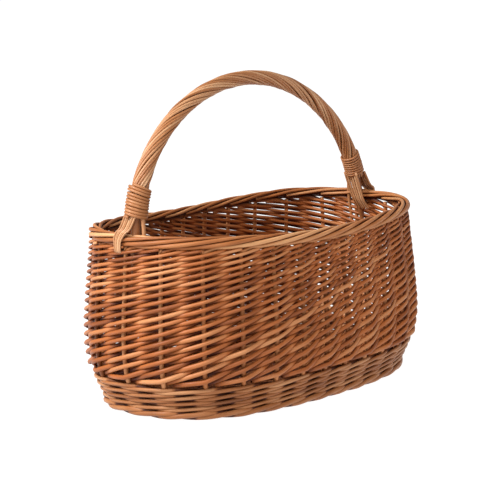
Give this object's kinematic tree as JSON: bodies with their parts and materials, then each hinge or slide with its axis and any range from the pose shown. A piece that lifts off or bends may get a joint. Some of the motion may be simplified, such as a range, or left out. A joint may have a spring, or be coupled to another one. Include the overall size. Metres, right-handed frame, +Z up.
{
  "type": "woven market basket",
  "caption": "Oval woven willow market basket with rounded-in foot, rolled border and a fixed roped bow handle from end to end.",
  "frame": {"origin": "middle of the oval, on the surface the basket stands on", "axes": "+X along the basket, towards the handle's right foot; +Y across it; +Z up"},
  "size_m": [0.424, 0.257, 0.3464],
  "materials": {
    "base_willow": "dry semi-matt willow, darker underneath",
    "stake_willow": "semi-matt buff willow",
    "wale_willow": "semi-matt brown-buff willow",
    "siding_willow": "semi-matt buff willow, each rod its own shade",
    "border_willow": "semi-matt buff willow, rubbed paler on top",
    "handle_willow": "semi-matt buff willow, slightly polished by hands"
  },
  "bodies": {
    "root": {"base_stick_long_1": "base_willow", "base_stick_long_2": "base_willow", "base_stick_long_3": "base_willow", "base_stick_cross_1": "base_willow", "base_stick_cross_2": "base_willow", "base_stick_cross_3": "base_willow", "base_stick_cross_4": "base_willow", "base_stick_cross_5": "base_willow", "base_weave": "base_willow", "stake_01": "stake_willow", "stake_02": "stake_willow", "stake_03": "stake_willow", "stake_04": "stake_willow", "stake_05": "stake_willow", "stake_06": "stake_willow", "stake_07": "stake_willow", "stake_08": "stake_willow", "stake_09": "stake_willow", "stake_10": "stake_willow", "stake_11": "stake_willow", "stake_12": "stake_willow", "stake_13": "stake_willow", "stake_14": "stake_willow", "stake_15": "stake_willow", "stake_16": "stake_willow", "stake_17": "stake_willow", "stake_18": "stake_willow", "stake_19": "stake_willow", "stake_20": "stake_willow", "stake_21": "stake_willow", "stake_22": "stake_willow", "stake_23": "stake_willow", "stake_24": "stake_willow", "stake_25": "stake_willow", "stake_26": "stake_willow", "stake_27": "stake_willow", "handle_bow": "handle_willow", "handle_liner_left": "handle_willow", "handle_liner_right": "handle_willow", "foot_rope": "wale_willow", "upsett_wale": "wale_willow", "siding": "siding_willow", "border": "border_willow", "roping_strand_1": "handle_willow", "roping_strand_2": "handle_willow", "roping_strand_3": "handle_willow", "roping_strand_4": "handle_willow", "roping_strand_5": "handle_willow", "roping_strand_6": "handle_willow", "roping_strand_7": "handle_willow", "roping_strand_8": "handle_willow", "binding_left": "handle_willow", "ribbon_left_outer": "handle_willow", "ribbon_left_inner": "handle_willow", "binding_right": "handle_willow", "ribbon_right_outer": "handle_willow", "ribbon_right_inner": "handle_willow"}
  },
  "joints": []
}
